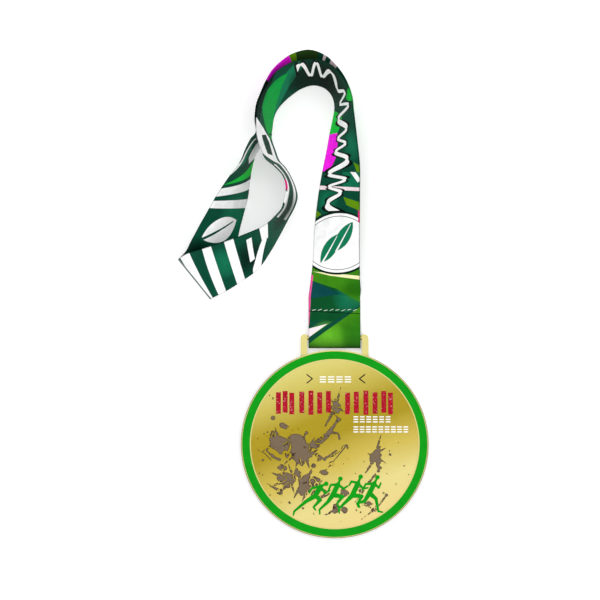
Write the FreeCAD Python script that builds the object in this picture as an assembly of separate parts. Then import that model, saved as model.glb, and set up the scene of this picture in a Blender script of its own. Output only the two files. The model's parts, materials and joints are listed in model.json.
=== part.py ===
import FreeCAD
import Part

import math
import os

# Sports finisher medal on its neck ribbon, lying face up.
# Millimetres. The origin is the centre of the disc on its flat back, +Y runs towards
# the lug and +Z is up, out of the face. The back of the disc lies at Z = 0.

Vec = FreeCAD.Vector

# Medal
disc_diameter = 90.0
disc_thickness = 3.5
back_chamfer = 0.3
rim_width = 0.6            # raised gold line outside the green border
border_width = 3.7         # green border
inner_line_width = 0.6     # raised gold line inside the green border
field_drop = 0.2           # the gold field lies this far below the two raised lines
border_depth = 0.5         # depth of the border's channel below the raised lines
inlay_depth = 0.35         # depth of the picture's pockets below the field
enamel_sink = 0.1          # every fill stops this far below the metal round it

# Lug, cast in one with the disc
lug_leg_width = 3.1
lug_thickness = 2.4
lug_rise = 7.6             # from the disc's edge to the top of the lug
lug_corner_radius = 1.8
lug_bar_diameter = 2.2
lug_root_depth = 2.0       # how far a leg is let into the disc
ribbon_side_gap = 0.7      # between the ribbon's edge and a leg

# Ribbon
ribbon_width = 25.0
ribbon_thickness = 0.35
loop_bar_gap = 0.3         # between the loop and the bar, above and below
loop_drop = 5.05           # from the bar's axis to the bottom of the loop
seam_distance = 13.0       # from the bar's axis to the row of stitches
turn_back_distance = 17.0  # from the bar's axis to the end of the turned-back ply
tucked_end_distance = 9.5  # from the bar's axis to the tucked-in end of the back layer
layers_join_distance = 20.0  # from the bar's axis to where two plies lie flat again
neck_fold_gap = 0.4        # between the two layers at the neck fold

# Stitches
stitch_count = 8
stitch_length = 2.0
stitch_thickness = 0.2
stitch_margin = 1.6        # from the ribbon's edge to the first stitch

disc_radius = disc_diameter / 2
border_outer = disc_radius - rim_width
border_inner = border_outer - border_width
field_radius = border_inner - inner_line_width
field_z = disc_thickness - field_drop
border_floor_z = disc_thickness - border_depth
lug_top = disc_radius + lug_rise
bar_y = lug_top - lug_leg_width / 2
bar_z = disc_thickness / 2
slot_half = ribbon_width / 2 + ribbon_side_gap
lug_half = slot_half + lug_leg_width
bar_radius = lug_bar_diameter / 2
loop_inner = bar_radius + loop_bar_gap
loop_outer = loop_inner + ribbon_thickness
loop_centre_y = bar_y - loop_drop + loop_outer
left_edge = -ribbon_width / 2
lug_root_y = math.sqrt(disc_radius ** 2 - lug_half ** 2) - lug_root_depth

# The ribbon's route. A station is a place on the edge that stays on the table, then the
# direction across the ribbon seen from above and how far it leans up, both in degrees.
# The place is measured from the left edge of the ribbon at the bar. The two layers run
# together up the band and over the arch and part at its end. The back layer goes on as
# the left branch, and the front layer as the right branch and the strip that lies over
# the left branch. They meet again in the neck fold.
band_route = [
    (0.0, layers_join_distance, 0, 0),
    (1.0, 27.0, -3, 18),
    (2.2, 37.0, -3, 27),
    (3.0, 52.5, -2, 31),
    (5.0, 70.0, -3, 39),
    (7.0, 81.5, -2, 46),
    (9.2, 92.3, -2, 56),
    (10.5, 99.7, -1, 62),
    (12.0, 106.6, 0, 68),
]
arch_route_back = [
    (12.9, 112.5, 12, 72),
    (12.2, 117.0, 44, 73),
    (10.0, 120.7, 70, 70),
    (6.6, 123.0, 86, 64),
    (1.8, 123.8, 98, 59),
    (-3.8, 122.0, 109, 58),
    (-8.2, 119.0, 114, 59),
    (-11.5, 116.2, 118, 61),
    (-14.4, 113.0, 126, 66),
    (-16.2, 110.0, 141, 70),
    (-17.2, 107.0, 160, 71),
    (-17.8, 102.6, 180, 72),
    (-18.2, 97.5, 190, 74),
]
arch_route_front = [
    (12.9, 112.5, 12, 72),
    (12.2, 117.0, 44, 74),
    (10.0, 120.7, 70, 73),
    (6.6, 123.0, 87, 71),
    (1.8, 123.8, 100, 71),
    (-3.8, 122.0, 110, 68),
    (-8.2, 119.0, 114, 66),
    (-11.5, 116.2, 117, 66),
    (-14.4, 113.0, 124, 69),
    (-16.2, 110.0, 140, 71),
    (-17.2, 107.0, 160, 72),
    (-17.8, 102.6, 180, 73),
    (-18.2, 97.5, 193, 74),
]
left_route = [
    (-22.3, 94.0, 190, 78),
    (-25.8, 88.3, 188, 80),
    (-27.5, 82.0, 176, 79),
    (-28.5, 75.1, 162, 72),
    (-29.5, 67.8, 160, 63),
    (-31.4, 60.4, 160, 56),
    (-34.0, 49.7, 157, 47),
    (-35.0, 39.0, 157, 28),
    (-40.0, 26.4, 141, 10),
    (-47.2, 19.0, 129, 0),
]
right_route = [
    (-16.3, 91.4, 208, 73),
    (-14.4, 86.4, 204, 74),
    (-11.4, 83.0, 207, 76),
    (-8.5, 78.1, 210, 79),
    (-6.2, 72.4, 202, 78),
    (-5.6, 68.3, 210, 73),
    (-6.8, 64.0, 212, 73),
    (-10.0, 57.8, 192, 76),
    (-14.0, 50.2, 148, 76),
]
strip_route = [
    (-18.7, 41.9, 122, 66),
    (-24.5, 33.6, 121, 50),
    (-31.0, 28.6, 121, 41),
    (-40.0, 22.8, 122, 26),
    (-47.2, 19.0, 129, 0),
]
back_route = band_route + arch_route_back + left_route
front_route = band_route + arch_route_front + right_route + strip_route
band_end = len(band_route)
arch_end = band_end + len(arch_route_back)
crown_start = band_end + 3   # where the arch's rise ends
crown_end = band_end + 8     # where its fall begins
right_end = arch_end + len(right_route)


# The picture on the face, drawn for a field of this radius and scaled to the real one.
artwork_radius = 40.1

# Mud, each splash as its middle and its reach in evenly spaced directions from +X round.
mud_splashes = [
    (-26.6, 0.4, (5.0, 4.2, 3.4, 3.8, 6.9, 5.6, 4.6, 4.5, 4.0, 5.2, 5.6, 5.4)),
    (-24.5, 8.5, (2.4, 1.4, 1.7, 2.3, 1.6, 1.2, 2.0)),
    (-16.9, -3.4, (6.6, 6.4, 5.6, 7.2, 8.4, 9.0, 4.4, 4.6, 7.4, 5.2, 6.0, 7.4, 5.4, 6.6)),
    (0.6, 17.6, (2.6, 2.5, 2.6, 4.2, 2.0, 2.4, 2.5, 2.9, 4.2, 3.4, 2.6)),
    (20.0, -5.2, (2.6, 2.4, 4.6, 2.6, 2.3, 2.6, 3.4, 4.6, 3.6, 4.8, 2.6)),
    (-25.2, -11.3, (2.3, 1.5, 1.8, 2.5, 1.6, 2.2)),
    (-23.1, -16.9, (4.6, 4.0, 3.2, 3.6, 4.9, 4.6, 3.6, 4.0, 4.4, 3.8)),
    (-17.8, -13.9, (2.2, 1.4, 2.5, 1.8, 2.6, 1.9, 2.9)),
    (-14.2, -18.8, (4.4, 3.4, 5.0, 3.6, 4.2, 3.1, 4.0, 6.4, 4.6, 4.9)),
    (-9.0, -17.8, (3.0, 2.2, 2.4, 2.8, 2.0, 2.6, 2.2)),
    (-26.3, -23.0, (1.4, 1.9, 1.2, 2.2, 1.3, 2.4)),
    (-5.2, -13.7, (2.5, 1.2, 1.5, 2.4, 1.3, 1.6)),
    (-7.4, -6.8, (2.4, 1.2, 1.9, 1.1, 1.8, 1.3)),
    (-5.0, -23.6, (2.6, 1.7, 2.4, 1.8, 2.7, 1.9)),
    (4.4, -23.4, (2.6, 1.8, 2.3, 1.7, 2.6, 2.0)),
    (0.8, -31.0, (2.5, 2.0, 2.6, 1.9, 2.7, 1.8)),
    (4.3, -31.4, (1.9, 1.4, 1.7, 1.3, 2.0)),
    (12.4, -22.0, (1.9, 1.3, 1.8, 1.2, 1.7)),
    (15.8, -28.4, (2.4, 1.2, 1.4, 2.2, 1.2, 1.4)),
    (18.6, -31.5, (1.6, 1.1, 1.3, 1.6, 1.1)),
]

# Mud streaks, each thrown from one place to another with its half-width at both ends.
mud_streaks = [
    (-11.0, -1.8, 2.0, -3.5, 4.2, 1.3),
    (-3.5, 4.2, 1.3, 0.7, 10.1, 0.6),
    (0.7, 10.1, 0.6, 2.0, 11.6, 1.1),
    (-2.6, 5.6, 0.9, 1.8, 4.9, 0.4),
    (1.8, 4.9, 0.4, 2.3, 2.4, 0.6),
    (1.2, 20.4, 0.8, 3.0, 27.2, 0.1),
    (-0.8, 15.4, 0.9, -4.5, 8.6, 0.35),
    (0.9, 15.6, 1.0, 1.2, 12.6, 0.5),
    (20.5, -1.4, 0.7, 22.3, 4.6, 0.1),
    (18.8, -7.8, 0.9, 14.8, -13.8, 0.35),
    (20.6, -8.6, 1.0, 20.9, -13.2, 0.7),
    (19.4, -14.6, 0.5, 16.4, -18.4, 0.7),
    (-4.9, -7.4, 0.8, 0.8, -3.4, 0.5),
    (5.3, -1.2, 0.3, -1.8, -9.8, 0.2),
    (-1.8, -9.8, 0.3, -4.6, -12.6, 0.5),
    (-34.4, -1.8, 0.12, -29.2, -6.2, 0.8),
    (-32.6, -18.8, 0.12, -26.8, -22.4, 0.9),
    (18.2, -31.8, 0.5, 12.6, -36.2, 0.12),
    (24.6, -24.4, 0.2, 21.0, -28.6, 0.15),
    (0.0, -31.8, 0.9, -4.8, -34.0, 0.25),
    (-8.6, -5.2, 0.9, -5.4, -7.2, 0.35),
    (-5.4, -7.2, 0.35, -0.6, -5.8, 0.3),
    (-0.6, -5.8, 0.3, 2.9, -3.0, 0.3),
    (2.9, -3.0, 0.3, 4.2, -0.6, 0.15),
    (-15.0, 1.5, 0.8, -14.2, 5.4, 0.15),
    (-19.6, 1.8, 0.8, -21.4, 5.2, 0.15),
    (-12.0, -1.0, 0.9, -9.6, 3.0, 0.12),
    (-10.4, -4.4, 0.9, -6.8, -0.8, 0.12),
    (-21.0, -6.4, 0.9, -24.2, -9.8, 0.12),
    (-17.5, -7.6, 0.9, -18.8, -11.4, 0.12),
    (-13.4, -7.4, 0.9, -12.2, -11.8, 0.15),
    (-30.0, 2.6, 0.8, -33.6, 4.2, 0.12),
    (-31.0, -1.4, 0.8, -34.8, -3.8, 0.12),
    (-27.6, 4.4, 0.8, -28.6, 7.8, 0.12),
    (-24.2, -3.6, 0.8, -22.8, -7.2, 0.12),
    (-37.0, -2.8, 0.12, -33.6, -4.6, 0.2),
    (-33.6, -4.6, 0.2, -30.4, -7.8, 0.25),
    (-29.8, -6.4, 0.5, -26.4, -7.6, 0.7),
    (-26.6, -15.4, 0.8, -30.6, -13.6, 0.12),
    (-26.4, -18.6, 0.8, -30.8, -20.8, 0.12),
    (-24.2, -20.0, 0.8, -25.8, -24.0, 0.12),
    (-20.6, -19.4, 0.8, -19.4, -23.8, 0.15),
    (-17.2, -21.6, 0.9, -19.8, -26.4, 0.12),
    (-13.4, -23.0, 0.9, -15.8, -27.6, 0.12),
    (-12.6, -15.6, 0.8, -10.8, -11.4, 0.12),
    (-20.8, -13.4, 0.7, -22.2, -9.8, 0.12),
    (-8.8, -20.6, 0.9, -12.4, -26.4, 0.15),
    (-6.0, -24.4, 0.9, -9.8, -29.6, 0.12),
    (3.6, -24.6, 0.9, -0.2, -30.0, 0.15),
    (13.0, -22.8, 0.8, 9.6, -28.0, 0.12),
    (13.2, -29.2, 0.2, 17.8, -30.6, 0.4),
    (17.8, -30.6, 0.4, 21.4, -29.2, 0.3),
    (21.4, -29.2, 0.3, 24.6, -25.0, 0.25),
    (21.2, -3.8, 0.7, 24.4, -2.0, 0.12),
    (18.4, -6.4, 0.7, 15.8, -4.4, 0.12),
    (21.8, -7.8, 0.7, 24.8, -9.4, 0.12),
    (0.2, 19.2, 0.8, -2.4, 21.6, 0.12),
    (2.0, 16.8, 0.8, 4.8, 15.2, 0.12),
]

# Mud drops: middle and radius.
mud_drops = [
    (-29.6, 12.4, 1.1), (-27.3, 14.9, 0.6), (-29.8, 21.8, 0.6), (-31.3, 23.2, 0.3),
    (-34.4, -7.8, 0.6), (-33.9, 4.8, 0.35), (-32.2, 5.6, 0.4), (-36.8, 2.4, 0.4),
    (-10.2, -10.4, 1.2), (-1.6, -9.6, 1.2), (5.5, -1.0, 0.9), (6.2, -2.0, 0.6),
    (-11.2, -13.6, 0.7), (-24.2, -21.2, 0.7), (-21.6, -28.0, 0.7), (-25.8, -27.8, 0.5),
    (-15.2, -30.7, 0.6), (-9.9, -33.3, 0.5), (-30.8, -24.6, 0.5), (5.6, -35.6, 0.35),
    (2.8, -37.0, 0.3), (21.8, -11.4, 0.8), (24.6, -24.6, 0.9), (23.4, -23.4, 0.6),
    (26.5, -5.2, 0.7), (26.2, -3.4, 0.35), (30.6, 0.6, 0.4), (33.2, -10.4, 0.45),
    (35.4, -14.8, 0.35), (29.4, -19.2, 0.45), (4.2, -9.6, 0.3), (6.2, -7.2, 0.25),
    (23.6, -9.6, 0.35), (14.0, -8.6, 0.3), (25.0, -14.2, 0.3), (10.2, -31.6, 0.7),
    (12.2, -32.6, 0.5), (-36.2, -14.0, 0.4), (-34.6, -14.8, 0.3), (2.2, 11.8, 0.9),
    (-13.6, 5.2, 0.9), (-20.2, 6.2, 0.6), (-17.4, 7.0, 0.4), (9.8, -14.2, 0.3),
]

# Runners, each by the places of its joints.
runners = [
    {
        "head": (-4.1, -19.1), "shoulder": (-6.8, -20.4), "hip": (-9.3, -24.8),
        "front_leg": [(-6.9, -26.8), (-10.2, -30.2), (-9.2, -31.6)],
        "back_leg": [(-13.9, -27.6), (-19.4, -32.2), (-19.8, -33.9)],
        "front_arm": [(-4.6, -23.6), (-2.4, -22.2)],
        "back_arm": [(-10.9, -21.2), (-12.2, -23.4)],
    },
    {
        "head": (2.7, -16.7), "shoulder": (1.5, -19.5), "hip": (-0.9, -24.4),
        "front_leg": [(3.8, -25.2), (1.2, -28.4), (2.2, -31.8)],
        "back_leg": [(-3.4, -27.8), (-7.3, -31.4), (-7.2, -33.4)],
        "front_arm": [(4.2, -21.4), (6.1, -20.2)],
        "back_arm": [(-1.9, -19.6), (-3.0, -22.2)],
    },
    {
        "head": (12.4, -15.7), "shoulder": (11.1, -18.8), "hip": (8.4, -24.6),
        "front_leg": [(13.0, -25.0), (11.0, -28.2), (11.9, -30.2)],
        "back_leg": [(5.7, -27.3), (1.9, -31.0), (2.1, -33.0)],
        "front_arm": [(13.6, -21.4), (15.8, -21.0)],
        "back_arm": [(8.0, -18.0), (6.9, -19.8)],
    },
    {
        "head": (20.4, -16.0), "shoulder": (18.9, -19.0), "hip": (16.6, -23.6),
        "front_leg": [(19.7, -26.2), (20.8, -32.2), (22.8, -32.6)],
        "back_leg": [(14.2, -27.4), (10.6, -28.4), (11.2, -30.2)],
        "front_arm": [(21.0, -21.0), (22.0, -18.8)],
        "back_arm": [(14.9, -19.2), (13.2, -22.0)],
    },
]
head_radius = 1.1
neck_radii = (0.5, 0.7)
shoulder_radius = 1.15
hip_radius = 1.25
leg_radii = (1.22, 0.83, 0.51, 0.39)
arm_radii = (0.73, 0.55, 0.43)

# Upright red bars in place of a title: the left side of each.
bar_lefts = [-28.2, -25.0, -21.8, -17.0, -12.6, -8.4, -4.2, 5.0, 9.2, 13.8, 18.2, 22.4, 25.6]
bar_width = 2.4
bar_bottom = 14.4
bar_top = 25.0
bar_ragged = (0.0, 0.5, -0.3, 0.3, -0.5)   # how far the ends of the bars step in or out

# White dashes in place of smaller lines: left, bottom, number, length, pitch, rows.
dash_lines = [
    (-7.2, 29.4, 4, 3.1, 4.0, 3),
    (9.0, 10.2, 6, 2.3, 3.1, 3),
    (9.0, 5.4, 9, 2.3, 3.0, 3),
]
dash_thickness = 0.6
dash_row_pitch = 1.2

# Dark arrowheads: tip, height of the middle, and which way it points.
arrowheads = [(-10.7, 31.2, 1), (11.9, 31.2, -1)]
arrow_length = 2.6
arrow_half_height = 2.0
arrow_half_stroke = 0.28


def rect(x0, x1, y0, y1, z0, z1):
    return Part.makeBox(x1 - x0, y1 - y0, z1 - z0, Vec(x0, y0, z0))


def ring(outer, inner, z0, z1):
    solid = Part.makeCylinder(outer, z1 - z0, Vec(0, 0, z0))
    return solid.cut(Part.makeCylinder(inner, z1 - z0, Vec(0, 0, z0)))


def polygon_face(points):
    return Part.Face(Part.makePolygon([Vec(x, y, 0) for x, y in points + points[:1]]))


def rect_face(x0, x1, y0, y1):
    return polygon_face([(x0, y0), (x1, y0), (x1, y1), (x0, y1)])


def disc_face(x, y, radius):
    return Part.Face(Part.Wire(Part.makeCircle(radius, Vec(x, y, 0))))


def taper(x0, y0, r0, x1, y1, r1):
    # A rounded bar seen from above that has its own half-width at each end.
    turn = math.acos((r0 - r1) / math.hypot(x1 - x0, y1 - y0))
    heading = math.atan2(y1 - y0, x1 - x0)
    ends = []
    for x, y, r, middle in ((x1, y1, r1, heading), (x0, y0, r0, heading + math.pi)):
        half = turn if middle == heading else math.pi - turn
        angles = (middle - half, middle, middle + half)
        ends.append([Vec(x + r * math.cos(a), y + r * math.sin(a), 0) for a in angles])
    near, far = ends
    edges = [
        Part.Arc(*near).toShape(),
        Part.makeLine(near[2], far[0]),
        Part.Arc(*far).toShape(),
        Part.makeLine(far[2], near[0]),
    ]
    return Part.Face(Part.Wire(edges))


def splash_face(x, y, reaches):
    points = []
    for i, reach in enumerate(reaches):
        angle = 2 * math.pi * i / len(reaches)
        points.append(Vec(x + reach * math.cos(angle), y + reach * math.sin(angle), 0))
    outline = Part.BSplineCurve()
    outline.interpolate(Points=points, PeriodicFlag=True)
    return Part.Face(Part.Wire(outline.toShape()))


def joined(faces):
    # One flat plate, a unit thick, out of overlapping faces.
    plates = [face.extrude(Vec(0, 0, 1)) for face in faces]
    return plates[0].multiFuse(plates[1:]).removeSplitter()


def limb(start, places, radii):
    faces = []
    for here, there, r0, r1 in zip([start] + places, places, radii, radii[1:]):
        faces.append(taper(*here, r0, *there, r1))
    return faces


def runner_faces(runner):
    shoulder = runner["shoulder"]
    hip = runner["hip"]
    faces = [disc_face(*runner["head"], head_radius)]
    faces.append(taper(*runner["head"], neck_radii[0], *shoulder, neck_radii[1]))
    faces.append(taper(*shoulder, shoulder_radius, *hip, hip_radius))
    for leg in ("front_leg", "back_leg"):
        faces += limb(hip, runner[leg], leg_radii)
    for arm in ("front_arm", "back_arm"):
        faces += limb(shoulder, runner[arm], arm_radii)
    return faces


def runner_art():
    faces = []
    for runner in runners:
        faces += runner_faces(runner)
    return joined(faces)


def bar_art():
    faces = []
    for i, left in enumerate(bar_lefts):
        low = bar_bottom + bar_ragged[i % len(bar_ragged)]
        high = bar_top + bar_ragged[(i + 2) % len(bar_ragged)]
        faces.append(rect_face(left, left + bar_width, low, high))
    return joined(faces)


def dash_art():
    faces = []
    for left, bottom, count, length, pitch, rows in dash_lines:
        for i in range(count):
            for row in range(rows):
                x = left + i * pitch
                y = bottom + row * dash_row_pitch
                faces.append(rect_face(x, x + length, y, y + dash_thickness))
    return joined(faces)


def arrow_art():
    faces = []
    for tip, middle, sign in arrowheads:
        for side in (1, -1):
            back = tip - sign * arrow_length
            end = middle + side * arrow_half_height
            faces.append(taper(back, end, arrow_half_stroke, tip, middle, arrow_half_stroke))
    return joined(faces)


def mud_art(others):
    faces = [splash_face(*splash) for splash in mud_splashes]
    faces += [taper(*streak) for streak in mud_streaks]
    faces += [disc_face(*drop) for drop in mud_drops]
    return joined(faces).cut(others)


def inlay(art, top):
    # Separate solids standing on the art's faces, from the bottom of the pockets to a height.
    bottom = field_z - inlay_depth
    solids = []
    for face in art.scaled(field_radius / artwork_radius).Faces:
        if face.BoundBox.ZMax < 0.01:
            solids.append(face.translated(Vec(0, 0, bottom)).extrude(Vec(0, 0, top - bottom)))
    return Part.makeCompound(solids)


def lug():
    z0 = bar_z - lug_thickness / 2
    z1 = bar_z + lug_thickness / 2
    frame = rect(-lug_half, lug_half, lug_root_y, lug_top, z0, z1)
    corners = []
    for edge in frame.Edges:
        ends = [v.Point for v in edge.Vertexes]
        if min(p.y for p in ends) > lug_top - 0.01 and abs(ends[0].z - ends[1].z) > 0.01:
            corners.append(edge)
    frame = frame.makeFillet(lug_corner_radius, corners)
    frame = frame.cut(rect(-slot_half, slot_half, lug_root_y - 1, lug_top + 1, z0 - 1, z1 + 1))
    reach = slot_half + lug_leg_width / 2
    bar = Part.makeCylinder(bar_radius, 2 * reach, Vec(-reach, bar_y, bar_z), Vec(1, 0, 0))
    return frame.fuse(bar)


def medal_body(pockets):
    disc = Part.makeCylinder(disc_radius, disc_thickness)
    back_edge = [e for e in disc.Edges if e.BoundBox.ZMax < 0.01]
    disc = disc.makeChamfer(back_chamfer, back_edge)
    solid = disc.fuse(lug())
    solid = solid.cut(Part.makeCylinder(field_radius, field_drop + 1, Vec(0, 0, field_z)))
    solid = solid.cut(ring(border_outer, border_inner, border_floor_z, disc_thickness + 1))
    for pocket in pockets:
        solid = solid.cut(pocket)
    return solid.removeSplitter()


def across(profile):
    # A stretch of ribbon from its profile seen from the side, as places along Y and Z.
    points = [Vec(left_edge, y, z) for y, z in profile + profile[:1]]
    return Part.Face(Part.makePolygon(points)).extrude(Vec(ribbon_width, 0, 0))


def ply(path):
    # A ply whose underside follows a path along Y and Z.
    top = [(y, z + ribbon_thickness) for y, z in reversed(path)]
    return across(path + top)


def lug_bend():
    length = ribbon_width
    start = Vec(left_edge, loop_centre_y, bar_z)
    tube = Part.makeCylinder(loop_outer, length, start, Vec(1, 0, 0))
    tube = tube.cut(Part.makeCylinder(loop_inner, length, start, Vec(1, 0, 0)))
    loop_high_z = bar_z + loop_outer
    low_y = loop_centre_y - loop_outer
    half = rect(left_edge, left_edge + length, low_y, loop_centre_y, bar_z - loop_outer, loop_high_z)
    return tube.common(half)


def loop_front():
    high = bar_z + loop_inner
    return ply([
        (loop_centre_y, high),
        (bar_y + bar_radius + loop_bar_gap, high),
        (bar_y + seam_distance - 1, 2 * ribbon_thickness),
        (bar_y + turn_back_distance + ribbon_thickness, 2 * ribbon_thickness),
        (bar_y + layers_join_distance, ribbon_thickness),
    ])


def loop_back():
    return ply([(loop_centre_y, 0), (bar_y + turn_back_distance, 0)])


def tucked_end():
    return ply([
        (bar_y + tucked_end_distance, ribbon_thickness),
        (bar_y + turn_back_distance + ribbon_thickness, ribbon_thickness),
        (bar_y + layers_join_distance, 0),
    ])


def direction(heading, lean):
    heading = math.radians(heading)
    lean = math.radians(lean)
    flat = math.cos(lean)
    return Vec(math.cos(heading) * flat, math.sin(heading) * flat, math.sin(lean))


def sections(route, lifts, low, high):
    # Four-cornered sections of a ply that lies between two heights off the route's surface.
    edges = []
    middles = []
    for (dx, dy, heading, lean), lift in zip(route, lifts):
        edges.append(Vec(left_edge + dx, bar_y + dy, lift))
        middles.append(edges[-1] + direction(heading, lean) * (ribbon_width / 2))
    wires = []
    last = len(route) - 1
    for i, (edge, station) in enumerate(zip(edges, route)):
        over = direction(station[2], station[3])
        along = middles[min(i + 1, last)] - middles[max(i - 1, 0)]
        if i in (0, last):
            along.z = 0   # the ends lie flat
        normal = over.cross(along).normalize()
        far = edge + over * ribbon_width
        corners = [edge + normal * low, far + normal * low, far + normal * high, edge + normal * high]
        wires.append(Part.makePolygon(corners + corners[:1]))
    return wires


def stretch(wires, first, last):
    return Part.makeLoft(wires[first:last + 1], True, True)


def back_stretches():
    t = ribbon_thickness
    wires = sections(back_route, [t] * len(back_route), -t, 0)
    return {
        "ribbon_band_back": stretch(wires, 0, band_end - 1),
        "ribbon_arch_rise_back": stretch(wires, band_end - 1, crown_start),
        "ribbon_arch_crown_back": stretch(wires, crown_start, crown_end),
        "ribbon_arch_fall_back": stretch(wires, crown_end, arch_end - 1),
        "ribbon_left_branch": stretch(wires, arch_end - 1, len(back_route) - 1),
    }


def front_stretches():
    t = ribbon_thickness
    lifts = [t] * len(front_route)
    lifts[-1] = t + neck_fold_gap
    wires = sections(front_route, lifts, 0, t)
    return {
        "ribbon_band_front": stretch(wires, 0, band_end - 1),
        "ribbon_arch_front": stretch(wires, band_end - 1, arch_end - 1),
        "ribbon_right_branch": stretch(wires, arch_end - 1, right_end - 1),
        "ribbon_lower_strip": stretch(wires, right_end - 1, len(front_route) - 1),
    }


def neck_fold():
    dx, dy, heading, lean = left_route[-1]
    inner = neck_fold_gap / 2
    outer = inner + ribbon_thickness
    along = direction(heading, lean)
    start = Vec(left_edge + dx, bar_y + dy, outer)
    tube = Part.makeCylinder(outer, ribbon_width, start, along)
    tube = tube.cut(Part.makeCylinder(inner, ribbon_width, start, along))
    outward = Vec(-along.y, along.x, 0)
    below = start - Vec(0, 0, outer)
    corners = [below, below + along * ribbon_width]
    corners += [corners[1] + outward * outer, corners[0] + outward * outer]
    half = Part.Face(Part.makePolygon(corners + corners[:1])).extrude(Vec(0, 0, 2 * outer))
    return tube.common(half)


def stitches():
    run = ribbon_width - 2 * stitch_margin - stitch_length
    y = bar_y + seam_distance + 0.5
    z = 3 * ribbon_thickness
    solids = []
    for i in range(stitch_count):
        x = left_edge + stitch_margin + run * i / (stitch_count - 1)
        low_y = y - stitch_thickness
        high_y = y + stitch_thickness
        solids.append(rect(x, x + stitch_length, low_y, high_y, z, z + stitch_thickness))
    return Part.makeCompound(solids)


def build():
    title = bar_art()
    dashes = dash_art()
    arrows = arrow_art()
    figures = runner_art()
    mud = mud_art([title, dashes, arrows, figures])
    art = {
        "mud_splash_enamel": mud,
        "runners_enamel": figures,
        "title_bars_enamel": title,
        "legend_dashes_enamel": dashes,
        "arrowheads_enamel": arrows,
    }
    nodes = {name: inlay(shape, field_z - enamel_sink) for name, shape in art.items()}
    pockets = [inlay(shape, disc_thickness + 1) for shape in art.values()]
    border_top_z = disc_thickness - enamel_sink
    nodes["border_enamel"] = ring(border_outer, border_inner, border_floor_z, border_top_z)
    nodes["medal_body"] = medal_body(pockets)

    nodes["ribbon_lug_bend"] = lug_bend()
    nodes["ribbon_loop_front"] = loop_front()
    nodes["ribbon_loop_back"] = loop_back()
    nodes["ribbon_tucked_end"] = tucked_end()
    nodes.update(back_stretches())
    nodes.update(front_stretches())
    nodes["ribbon_neck_fold"] = neck_fold()
    nodes["stitch_thread"] = stitches()
    return nodes


def main():
    os.makedirs("parts", exist_ok=True)
    for name, shape in build().items():
        shape.exportStep(f"parts/{name}.step")
        print(name, len(shape.Solids), round(shape.Volume, 2), shape.isValid())


main()
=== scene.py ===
import json
import math

import bpy
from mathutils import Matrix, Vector, kdtree


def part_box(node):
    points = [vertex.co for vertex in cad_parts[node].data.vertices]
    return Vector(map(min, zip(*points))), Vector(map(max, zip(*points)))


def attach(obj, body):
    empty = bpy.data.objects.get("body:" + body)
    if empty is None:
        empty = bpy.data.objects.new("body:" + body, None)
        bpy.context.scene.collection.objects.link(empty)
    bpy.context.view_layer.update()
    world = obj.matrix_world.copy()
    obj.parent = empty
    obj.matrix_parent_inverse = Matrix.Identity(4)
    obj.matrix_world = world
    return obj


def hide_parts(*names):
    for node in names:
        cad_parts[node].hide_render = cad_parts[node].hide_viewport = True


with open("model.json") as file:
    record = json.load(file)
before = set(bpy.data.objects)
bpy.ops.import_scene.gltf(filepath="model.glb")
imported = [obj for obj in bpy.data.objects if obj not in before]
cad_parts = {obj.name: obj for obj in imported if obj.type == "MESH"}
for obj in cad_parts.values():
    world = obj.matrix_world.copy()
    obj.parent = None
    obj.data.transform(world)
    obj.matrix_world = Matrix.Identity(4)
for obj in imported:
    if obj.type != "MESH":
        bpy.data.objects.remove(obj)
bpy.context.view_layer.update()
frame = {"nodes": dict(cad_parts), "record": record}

mm = 0.001
swing = frame["record"]["behaviour"]["joints"][0]
barPlace = Vector(swing["pos_m"])
loopLow, loopHigh = (Vector(corner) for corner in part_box("ribbon_loop_back"))
ribbonWidth = loopHigh.x - loopLow.x
plyThickness = loopHigh.z - loopLow.z


# small helpers

def deselectAll():
    for o in bpy.context.selected_objects:
        o.select_set(False)


def hexColour(code):
    values = [int(code[i:i + 2], 16) / 255 for i in (1, 3, 5)]
    return tuple(v / 12.92 if v <= 0.04045 else ((v + 0.055) / 1.055) ** 2.4 for v in values) + (1.0,)


def newMaterial(name):
    material = bpy.data.materials.new(name)
    material.use_nodes = True
    tree = material.node_tree
    return material, tree, tree.nodes["Principled BSDF"]


def feed(tree, socket, value):
    if isinstance(value, bpy.types.NodeSocket):
        tree.links.new(value, socket)
    else:
        socket.default_value = value


def calc(tree, operation, a, b=0.0, c=0.0, clamp=False):
    node = tree.nodes.new("ShaderNodeMath")
    node.operation = operation
    node.use_clamp = clamp
    for socket, value in zip(node.inputs, (a, b, c)):
        feed(tree, socket, value)
    return node.outputs[0]


def mixColour(tree, factor, a, b):
    node = tree.nodes.new("ShaderNodeMix")
    node.data_type = "RGBA"
    feed(tree, node.inputs[0], factor)
    feed(tree, node.inputs[6], a)
    feed(tree, node.inputs[7], b)
    return node.outputs[2]


def mapRange(tree, value, fromLow, fromHigh, toLow=0.0, toHigh=1.0):
    node = tree.nodes.new("ShaderNodeMapRange")
    feed(tree, node.inputs[0], value)
    for i, number in enumerate((fromLow, fromHigh, toLow, toHigh), 1):
        node.inputs[i].default_value = number
    return node.outputs[0]


def noiseTexture(tree, vector, scale, detail=3.0, roughness=0.5):
    node = tree.nodes.new("ShaderNodeTexNoise")
    feed(tree, node.inputs["Vector"], vector)
    node.inputs["Scale"].default_value = scale
    node.inputs["Detail"].default_value = detail
    node.inputs["Roughness"].default_value = roughness
    return node.outputs["Fac"]


def objectPlace(tree):
    return tree.nodes.new("ShaderNodeTexCoord").outputs["Object"]


def bump(tree, shader, height, strength, distance):
    node = tree.nodes.new("ShaderNodeBump")
    node.inputs["Strength"].default_value = strength
    node.inputs["Distance"].default_value = distance
    feed(tree, node.inputs["Height"], height)
    tree.links.new(node.outputs["Normal"], shader.inputs["Normal"])
    return node


# floor, light and camera

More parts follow.
